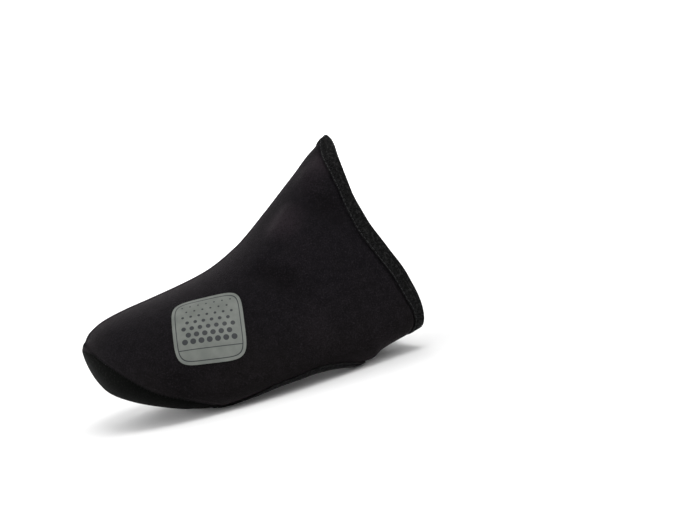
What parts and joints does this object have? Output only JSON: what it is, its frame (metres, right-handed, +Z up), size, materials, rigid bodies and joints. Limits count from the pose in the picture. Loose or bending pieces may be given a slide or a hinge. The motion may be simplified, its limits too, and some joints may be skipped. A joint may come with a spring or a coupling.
{
  "type": "cycling toe cover",
  "caption": "Neoprene cover for the front of a left cycling shoe, with a slanting taped collar, a taped cleat opening underneath, a hard-wearing toe underlay and a reflective badge.",
  "frame": {"origin": "on the resting plane, under the middle of the bounding box", "axes": "+Z up, toe towards -X, collar towards +X, outer (lateral) side of the left foot towards -Y"},
  "size_m": [0.1688, 0.0954, 0.1176],
  "materials": {
    "neoprene": "fine black knit over neoprene, matt with a faint purple bloom",
    "underlay": "rubberised black fabric, rough and matt",
    "tape": "black elastic binding tape with a cross-ribbed weave",
    "reflective_film": "grey-green reflective transfer, soft sheen"
  },
  "bodies": {
    "root": {"upper": "neoprene", "toe_underlay": "underlay", "collar_binding": "tape", "cleat_opening_binding": "tape", "badge": "reflective_film"}
  },
  "joints": []
}
